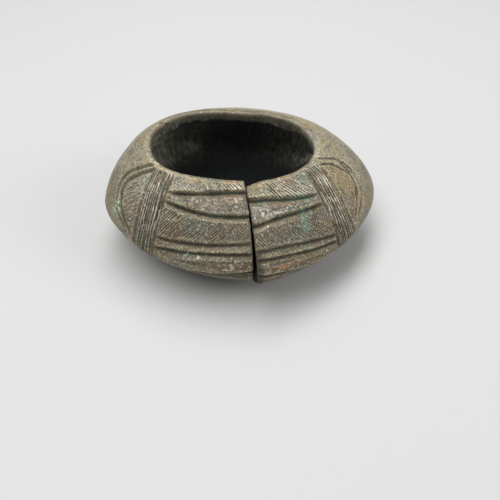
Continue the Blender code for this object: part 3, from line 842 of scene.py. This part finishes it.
# Painted light where the walls of the hollow face the lamps, and two faint painted patches at the back.
painted_light = 1.4 * hump(-110, 22) + 0.75 * hump(120, 17) + 0.10 * faint * smooth(33, 27, inner_height)
from_lens = np.hypot((inner_turn - LENS[0]) / LENS[1], (inner_height - LENS[2]) / LENS[3])
# The streaks vary the painted light, and the almond is a pale mark.
painted_light = painted_light * (0.8 + 0.6 * streaks[::-1] / STREAK_DEPTH) + 0.18 * smooth(1.1, 0.9, from_lens)
hidden[inner] = 1 - np.clip(painted_light, 0, 1) * smooth(7, 15, inner_height)
print("The hollow's clearest point keeps", round(float(hidden[inner].min()), 2), "of the dark")

# %% [markdown]
# The photo shows stains of green copper salts, bare reddish copper, pale and slate-grey deposits, and ochre earth.
# Each is a soft spot of its own size. One slate spot, under the left keel edge, is painted shadow.

# %% Mark the stains
PATCHES = {  # degrees from the slit, course in hundredths, half width and height in mm, strength in hundredths
    "verdigris": [
        (-70, 30, 4, 4, 42), (-62, 28, 2.5, 4, 38), (-31, 86.5, 6, 1.2, 70), (-14, 13, 5, 1, 50),
        (33, 26, 4, 1.4, 80), (32.5, 42, 2, 1.8, 95), (31, 50, 2.2, 2.2, 80), (30, 59, 2.2, 3, 85),
        (42, 12, 5, 3, 55), (28, 81, 3, 1.2, 60), (12, 19, 8, 1.1, 50), (11, 71, 6, 1, 50), (-20, 38, 8, 1.2, 40),
        (25, 65, 8, 3, 45), (20, 42, 8, 3, 40), (38, 33, 3, 1.5, 60), (8, 24, 3.5, 1.2, 55), (-74, 22, 4, 4, 50),
        (-84, 50, 3, 6, 40)],
    "copper": [
        (12.9, 91.4, 3.2, 1.1, 95), (-20, 92, 12, 1.5, 40), (-37, 33, 3, 0.9, 60), (-12, 25, 1.4, 1, 55),
        (-25, 30, 6, 1.5, 35), (16.3, 90.8, 2.6, 0.9, 80), (34, 79, 2.5, 1, 50), (12, 36, 3, 1.5, 35),
        (20, 66, 5, 1.5, 35), (42, 44, 2, 0.8, 50), (82, 30, 4, 3, 30), (22, 92, 3, 1.2, 45), (60, 78, 2, 1.5, 35),
        (-104, 6, 7, 2.5, 35)],
    "pale": [
        (-40, 24, 6, 1.3, 40), (-6, 26, 2.5, 1.6, 35), (-50, 13, 5, 2.5, 30), (8.2, 33, 0.7, 0.6, 120),
        (16, 36, 6, 1.3, 70), (40, 14, 5, 3, 60), (-62, 30, 2.5, 3, 40), (10, 29, 1.5, 1, 60), (-27, 86, 2, 0.8, 40)],
    "slate": [
        (-47, 11, 6, 1.8, 70), (-30, 12, 6, 1.5, 75), (-14, 10, 4, 1.3, 60), (44, 10, 5, 2, 40), (14, 50, 8, 3, 40),
        # The spot at 36 degrees left and course 0.91, between the keel edge and the lower outline, is painted shadow.
        (38, 55, 6, 3, 45), (-40, 50, 6, 3, 45), (-12, 88, 10, 1.5, 50), (-36, 91, 9, 1.2, 60),
        (-20, 98, 16, 1.6, 50), (14, 97, 13, 1.6, 45), (-75, 42, 5, 8, 45), (20, 85, 10, 1, 50), (-100, 20, 9, 6, 50),
        (-92, 55, 5, 8, 60), (92, 45, 6, 7, 60), (-70, 60, 5, 6, 50), (160, 2, 16, 1.4, 50), (-150, 2, 16, 1.4, 50),
        (96, -1, 9, 1.2, 100)],
    "ochre": [
        (-35, 1, 22, 0.7, 60), (14, 3, 5, 1, 70), (66, 42, 8, 12, 85), (-85, 6, 9, 2, 50), (-5, 41, 4, 1.2, 60),
        (-42, 58, 4, 3, 40), (84, 60, 4, 3, 50), (-45, 80, 4, 1, 50), (-36, 70, 9, 0.8, 55), (-38, 6, 9, 1.2, 50),
        (36, 82, 3, 1.2, 50), (40, 66, 4, 3, 40), (10, 60, 6, 3, 35), (-104, 5, 8, 3, 60), (-90, 30, 6, 6, 35),
        (85, 20, 8, 5, 50)],
}


def stain(patches):
    """The strongest of some patches at each point."""
    return np.max([strength / 100 * spot(angle, course / 100, wide, high)
                   for angle, course, wide, high, strength in patches], axis=0)


stains = {name: stain(patches) for name, patches in PATCHES.items()}
print("Stains:", ", ".join(f"{name} {len(patches)}" for name, patches in PATCHES.items()))

# %% [markdown]
# A hook-shaped scratch and some nicks went through the patina, and a line of earth runs along the crest of the rim on
# the right.


# %% Mark the scratches and the line on the crest
def line_mark(points, edge, core):
    """1 nearer to a drawn line than a core distance and 0 beyond an edge distance, both in mm."""
    return smooth(edge, core, nearest(drawn(points), SIGNED.ravel(), COURSE.ravel())[0]).reshape(TURN.shape)


SCRATCHES = (
    ((-11.3, 0.899), (-10.6, 0.913), (-10.1, 0.929), (-10.1, 0.947), (-10.8, 0.962)),
    ((-13.5, 0.969), (-12, 0.967)), ((-9, 0.881), (-8.7, 0.869)), ((-7.4, 0.87), (-7.1, 0.873)),
    ((-16.1, 0.923), (-15.9, 0.925)), ((-31.9, 0.848), (-32.4, 0.874), (-33.2, 0.876)),
    ((-26.8, 0.853), (-25.9, 0.87), (-26, 0.882)), ((56.8, 0.897), (57.3, 0.911)),
)
CREST_LINE = ((112, -0.02), (107, 0), (101.6, 0.034), (98.5, 0.06), (95.6, 0.065), (89.6, 0.049), (85, 0.029))
scratch = np.max([line_mark(points, 0.30, 0.12) for points in SCRATCHES], axis=0)
stains["ochre"] = np.maximum(stains["ochre"], 0.62 * line_mark(CREST_LINE, 0.8, 0.2))
dirt = dirt * (1 - scratch)
print("The scratches cover", int((scratch > 0.5).sum()), "points")

# %% Collect the marks
on_skin = {"recess": recess, "dirt": dirt, "sooty": sooty, "dusty": dusty, "rubbed": rubbed, "edges": edges,
           "calm": calm, "slope": slope, "crust": np.clip(1.3 * crust, 0, 1), "band_light": band_light,
           "scratch": scratch, "polished": polished, **stains}
marks = {name: over_ring(values) for name, values in on_skin.items()}
# Painted shade on the face of the upper lip at the back.
marks["sooty"][-LIP_ROWS:] = 0.85 * lip_face
marks["hidden"] = hidden
marks["hollow"] = over_ring(0.0, elsewhere=1.0)
marks["hollow"][-LIP_ROWS:] = 0
# Painted shade, deepening towards the bottom of the hollow.
marks["deep"] = over_ring(0.0)
marks["deep"][inner] = smooth(15, 6, inner_height)
print("Marks:", ", ".join(marks))

# %% [markdown]
# ## The mesh
#
# A Decimate modifier takes out points where the surface is nearly flat, as on the back and in the hollow. The carving
# keeps its points, and the piece stays under 200,000 triangles.

# %% Make the piece
MOST_TRIANGLES = 190_000
mesh = bpy.data.meshes.new("manilla_skin")
mesh.from_pydata((flat_points - middle) * MM, [], quads.tolist() + end_faces)
for name, values in marks.items():
    layer = mesh.attributes.new(name, "FLOAT", "POINT")
    layer.data.foreach_set("value", values.ravel().astype(np.float32))
manilla = put("carved_manilla", mesh)
mesh.calc_loop_triangles()
before = len(mesh.loop_triangles)
thin_out = manilla.modifiers.new("thin out", "DECIMATE")
thin_out.ratio = min(1.0, MOST_TRIANGLES / before)
finished = bpy.data.meshes.new_from_object(manilla.evaluated_get(bpy.context.evaluated_depsgraph_get()))
manilla.modifiers.clear()
manilla.data = finished
finished.name = "carved_manilla"
bpy.data.meshes.remove(mesh)
finished.shade_smooth()
finished.calc_loop_triangles()
print(before, "triangles thinned to", len(finished.loop_triangles))

# %% [markdown]
# ## The patina
#
# The copper alloy was cast and never polished. Its dull grey-brown patina is mostly oxide, with earth and painted
# shade in the cuts.
# The metal still shines a little through it, so the shader is partly metallic. It is glossier where hands have rubbed
# it, and dull where dirt and painted shade lie.
#
# The patterns have the sizes seen on the real one: clouds in the brown 8 mm across, warm and cool tints 6.5 mm,
# patches 3.6 mm and mottling 1.7 mm. The specks of 0.9 mm and the grain of 0.55 mm stand for the sand of the clay
# mould, about 0.3 mm. That is too fine to show in the render, so they are as coarse as they need to be.


# %% A function for shader nodes
def add_node(tree, kind, settings=None, **links):
    """Adds a node, sets its properties, and fills or links its inputs by name or number (as _0, _1 and so on)."""
    node = tree.nodes.new("ShaderNode" + kind)
    for key, value in (settings or {}).items():
        setattr(node, key, value)
    for key, value in links.items():
        socket = node.inputs[int(key[1:])] if key.startswith("_") else node.inputs[key.replace("_", " ")]
        if isinstance(value, bpy.types.NodeSocket):
            tree.links.new(value, socket)
        else:
            socket.default_value = value
    return node


# %% Make the patterns
material, tree, shader = new_material("copper alloy, cast, with an old patina")
PATTERNS = {  # size of the lumps in mm, detail, roughness
    "clouds": (8, 3, 0.6), "tints": (6.5, 1, 0.6), "patches": (3.6, 3, 0.6), "mottle": (1.7, 5, 0.8),
    "specks": (0.9, 3, 0.6), "grain": (0.55, 3, 0.6), "streaks": (1.2, 2, 0.6),
}
STREAK_STRETCH = (1, 1, 0.12)   # the streaks of the hollow are drawn out upwards

place = add_node(tree, "TexCoord").outputs["Object"]
stretched = add_node(tree, "VectorMath", {"operation": "MULTIPLY"}, _0=place, _1=STREAK_STRETCH).outputs[0]
seen = {name: add_node(tree, "Attribute", {"attribute_name": name}).outputs["Fac"] for name in marks}
for name, (size_mm, detail, rough) in PATTERNS.items():
    at = stretched if name == "streaks" else place
    node = add_node(tree, "TexNoise", Vector=at, Scale=1 / (size_mm * MM), Detail=detail, Roughness=rough)
    seen[name] = node.outputs["Fac"]
print("The material reads", len(marks), "marks and", len(PATTERNS), "patterns")


# %% Functions that lay coats
def shown(*factors):
    """How much of a coat shows: the product of its factors.

    A factor is a number, a socket, or the name of a mark or a pattern. One in brackets with two limits is stretched
    from them to 0 and 1, or to the two numbers that follow, with the ends held.
    """
    total = None
    for factor in factors:
        value, *limits = factor if isinstance(factor, tuple) else (factor,)
        value = seen.get(value, value) if isinstance(value, str) else value
        if limits:
            low, high, to_low, to_high = limits if len(limits) == 4 else (*limits, 0, 1)
            value = add_node(tree, "MapRange", Value=value, From_Min=low, From_Max=high, To_Min=to_low,
                             To_Max=to_high).outputs["Result"]
        if total is None:
            total = value
        else:
            total = add_node(tree, "Math", {"operation": "MULTIPLY"}, _0=total, _1=value).outputs[0]
    return total


def coat(under, over, *factors):
    """A colour laid over another as far as the factors show it. Each colour is a hex code or a socket."""
    under, over = (colour(c) if isinstance(c, str) else c for c in (under, over))
    return add_node(tree, "Mix", {"data_type": "RGBA"}, _0=shown(*factors), _6=under, _7=over).outputs[2]


def coats(base, *layers):
    """A colour with more coats laid over it, each given as its colour and factors."""
    for over, *factors in layers:
        base = coat(base, over, *factors)
    return base


def stained(name, pattern, most=1.0):
    """How much of a stain shows: it covers first where a pattern is high, and all over where its mark is strong."""
    total = add_node(tree, "Math", {"operation": "MULTIPLY_ADD"}, _0=seen[pattern], _1=2.2, _2=seen[name])
    return shown((total.outputs[0], 1.45, 1.95, 0, most))


# %% [markdown]
# The brown ground comes first, with its dust and its painted shade. Calm parts get less of every pattern.

# %% Lay the ground
lively = shown(("calm", 0, 1, 1, 0.4))
tinted = shown(lively, ("dusty", 0, 0.8, 1, 0.45))
gritty = shown("dusty", ("calm", 0, 1, 1, 0.45))
base = coats(
    "#4f4535",
    ("#8a8068", ("mottle", 0.36, 0.5)),
    ("#b3aa90", ("mottle", 0.5, 0.66)),
    ("#8d6f50", tinted, ("tints", 0.5, 0.62, 0, 0.65)),
    ("#65756c", tinted, ("tints", 0.5, 0.38, 0, 0.65)),
    ("#655a46", ("clouds", 0.5, 0.66, 0, 0.35)),
    (coat("#7c745f", "#928a70", ("clouds", 0.38, 0.62)), "calm", 0.6),
    ("#aca48b", "dusty", ("mottle", 0.3, 0.6, 0.3, 0.7)),
    ("#a8986c", "dusty", ("patches", 0.5, 0.62, 0, 0.65)),
    ("#7b7870", "dusty", ("patches", 0.47, 0.36, 0, 0.65)),
    ("#cdc6b0", gritty, ("grain", 0.54, 0.62, 0, 0.7)),
    ("#665e4c", gritty, ("grain", 0.47, 0.38, 0, 0.7)),
    # Painted shade.
    ("#4b4333", "sooty", ("clouds", 0.3, 0.6, 0.85, 0.55)),
)
print("The ground has", len(tree.nodes), "nodes")

# %% [markdown]
# Over it lie the dark crescents, the worn edges with their painted highlights, and the stains.

# %% Lay the wear and the stains
base = coats(
    base,
    (coat("#42392d", "#807869", ("mottle", 0.42, 0.58)), "polished", 0.85),
    ("#4c534d", "polished", ("patches", 0.47, 0.39, 0, 0.75)),
    ("#87716a", "polished", ("patches", 0.56, 0.64, 0, 0.35)),
    # Worn edges and painted highlights.
    ("#b5ab8d", "edges", ("specks", 0.35, 0.62, 0.1, 0.9)),
    ("#5d5954", stained("slate", "patches", 0.75)),
    ("#a99165", stained("ochre", "mottle", 0.9)),
    ("#c9c5bd", stained("pale", "specks")),
    ("#ab7d55", stained("copper", "specks", 0.8)),
    ("#76998a", stained("verdigris", "mottle", 0.75)),
    (coat("#74795c", "#c8dab6", ("specks", 0.4, 0.62)), "crust", ("specks", 0.35, 0.65, 0.6, 1)),
)
print("With wear and stains it has", len(tree.nodes), "nodes")

# %% [markdown]
# Then comes what the carving does: rubbed ridges are pale, those of the bands and the rim hatching get a painted
# highlight, the slopes of the grooves are dull where no green covers them, and earth and painted shade fill their
# bottoms. Light and dark grains lie over all of it but the earth and shade.

# %% Lay the tones of the carving
no_green = shown(("verdigris", 0.2, 0.8, 1, 0.25))
bright = shown("rubbed", "band_light")
base = coats(
    base,
    ("#afa68c", "rubbed", ("sooty", 0, 1, 1, 0.65), ("specks", 0.36, 0.6, 0.2, 1)),
    ("#655b49", "slope", no_green, ("mottle", 0.35, 0.6, 0.8, 0.4)),
    ("#675e45", no_green, ("recess", 0.1, 0.9, 0, 0.55)),
    ("#d9d5c6", lively, ("specks", 0.63, 0.72, 0, 0.75)),
    ("#c6c1b0", lively, ("grain", 0.57, 0.67, 0, 0.6)),
    # Painted highlight on the rubbed ridges of the bands and the rim hatching.
    ("#dfd8c2", (bright, 0, 0.55, 0, 0.95)),
    ("#cfc9bb", "scratch"),
    ("#382f23", lively, ("grain", 0.45, 0.34, 0, 0.8)),
    # Dirt and painted shade in the bottoms of the cuts and strokes, green where verdigris lies.
    (coat("#2a2418", "#2b4637", "verdigris"), ("dirt", 0.05, 0.9, 0, 0.92)),
)
print("With the carving it has", len(tree.nodes), "nodes")

# %% [markdown]
# Last comes the hollow: a pale clay-grey with upright streaks, which is painted light where the walls face the lamps,
# covered by painted shade as far as the mark says and darkest towards the bottom.
# Gloss follows the dirt and the painted shade, and a fine bump gives the grain that the mesh is too coarse for.

# %% Lay the hollow's painted light and shade, and set the gloss and the bump
base = coats(
    base,
    # The hollow's pale colour, seen as painted light where the painted shade thins.
    (coat("#9d9a84", "#eae7d0", ("streaks", 0.4, 0.6)), "hollow", 0.9),
    # Painted shade of the hollow, the rim's inner side and the lip's face.
    (coat("#232725", "#393d37", ("streaks", 0.35, 0.65)), "hidden"),
    # Deeper painted shade towards the bottom of the hollow.
    ("#131717", "deep"),
)
tree.links.new(base, shader.inputs["Base Color"])
dull = add_node(tree, "Math", {"operation": "MAXIMUM"}, _0=seen["dirt"], _1=seen["hidden"]).outputs[0]
tree.links.new(shown((dull, 0, 0.8, 0.45, 0.05)), shader.inputs["Metallic"])
matt, mottled = shown((dull, 0.1, 0.9, 0, 0.35)), shown(("mottle", 0.3, 0.7, 0.46, 0.62))
roughness = add_node(tree, "Math", {"operation": "ADD"}, _0=mottled, _1=matt).outputs[0]
tree.links.new(roughness, shader.inputs["Roughness"])
bump = add_node(tree, "Bump", Strength=0.7, Distance=0.10 * MM, Height=seen["grain"])
tree.links.new(bump.outputs["Normal"], shader.inputs["Normal"])
finished.materials.clear()
finished.materials.append(material)
print(material.name, "has", len(tree.nodes), "nodes")

# %% [markdown]
# ## Joining the piece to the model
#
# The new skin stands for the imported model's one solid, which is hidden, and it moves with its body.

# %% Ride, replace and finish
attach(manilla, "root")
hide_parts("manilla")
